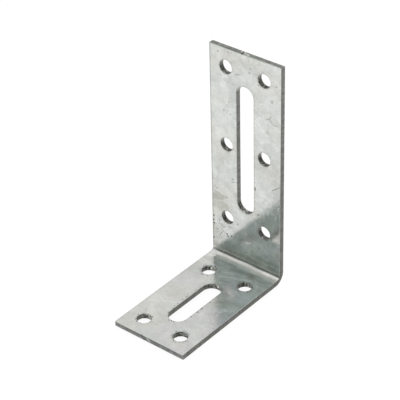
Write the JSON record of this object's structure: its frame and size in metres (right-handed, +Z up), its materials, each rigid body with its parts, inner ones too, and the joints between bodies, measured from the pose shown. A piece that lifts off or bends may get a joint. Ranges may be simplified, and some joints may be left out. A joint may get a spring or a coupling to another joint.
{
  "type": "adjustable angle bracket",
  "caption": "Folded galvanised steel angle bracket: a tall upright and a shorter foot, each with round screw holes and one long adjusting slot.",
  "frame": {"origin": "under the middle of the bracket's outer box, on the surface that the foot stands on", "axes": "+Z up along the upright, +Y out of the upright's back face (the foot reaches towards -Y), X across the strip"},
  "size_m": [0.0302, 0.0558, 0.087],
  "materials": {
    "galvanised_steel": "hot-dip galvanised sheet, smooth, faint spangle"
  },
  "bodies": {
    "root": {"angle_bracket": "galvanised_steel"}
  },
  "joints": []
}
